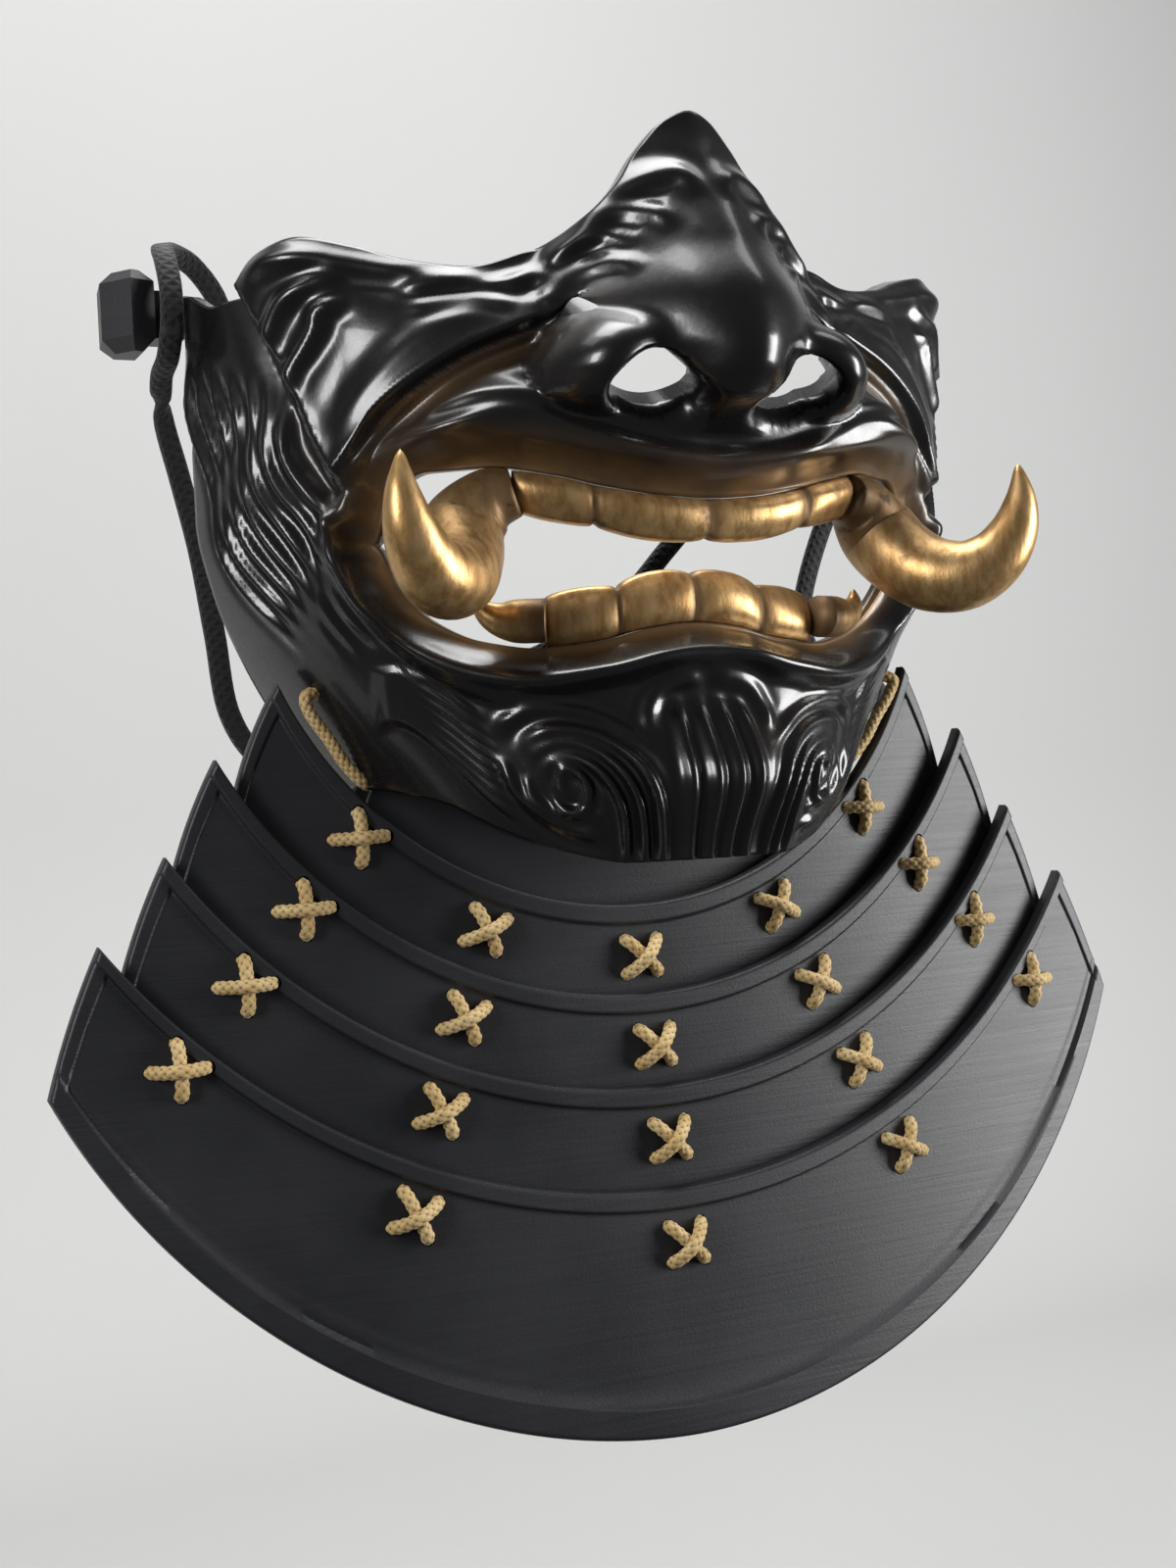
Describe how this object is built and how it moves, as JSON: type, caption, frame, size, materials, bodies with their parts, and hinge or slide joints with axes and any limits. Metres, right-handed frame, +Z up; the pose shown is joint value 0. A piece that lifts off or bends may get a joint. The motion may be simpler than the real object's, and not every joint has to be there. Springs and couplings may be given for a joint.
{
  "type": "samurai face guard with throat guard",
  "caption": "Lower-face armour mask with nose, open toothed mouth and tusks, a laced fan of curved throat plates below it, and a loop of strap from a knob at each side.",
  "frame": {"origin": "behind the chin wall of the shell, where the wearer's chin sits, on the mirror plane", "axes": "+Z up, -Y to the front, +X to the right seen from the front"},
  "size_m": [0.2524, 0.1254, 0.2677],
  "materials": {
    "lacquer": "glossy",
    "satin_black": "satin",
    "antique_gold": "satin",
    "gold_cord": "matte",
    "black_cord": "matte"
  },
  "bodies": {
    "root": {"mask_shell": "lacquer", "upper_teeth": "antique_gold", "lower_teeth": "antique_gold", "tusk_left": "antique_gold", "fang_left": "antique_gold", "strap_knob_left": "satin_black", "tusk_right": "antique_gold", "fang_right": "antique_gold", "strap_knob_right": "satin_black", "collar": "satin_black", "throat_plate_1": "satin_black", "lace_1_1": "gold_cord", "lace_1_2": "gold_cord", "lace_1_3": "gold_cord", "lace_1_4": "gold_cord", "lace_1_5": "gold_cord", "throat_plate_2": "satin_black", "lace_2_1": "gold_cord", "lace_2_2": "gold_cord", "lace_2_3": "gold_cord", "lace_2_4": "gold_cord", "lace_2_5": "gold_cord", "throat_plate_3": "satin_black", "lace_3_1": "gold_cord", "lace_3_2": "gold_cord", "lace_3_3": "gold_cord", "lace_3_4": "gold_cord", "lace_3_5": "gold_cord", "throat_plate_4": "satin_black", "lace_4_1": "gold_cord", "lace_4_2": "gold_cord", "lace_4_3": "gold_cord", "lace_4_4": "gold_cord", "lace_4_5": "gold_cord", "collar_lace_left": "gold_cord", "collar_lace_right": "gold_cord", "head_strap": "black_cord"}
  },
  "joints": []
}
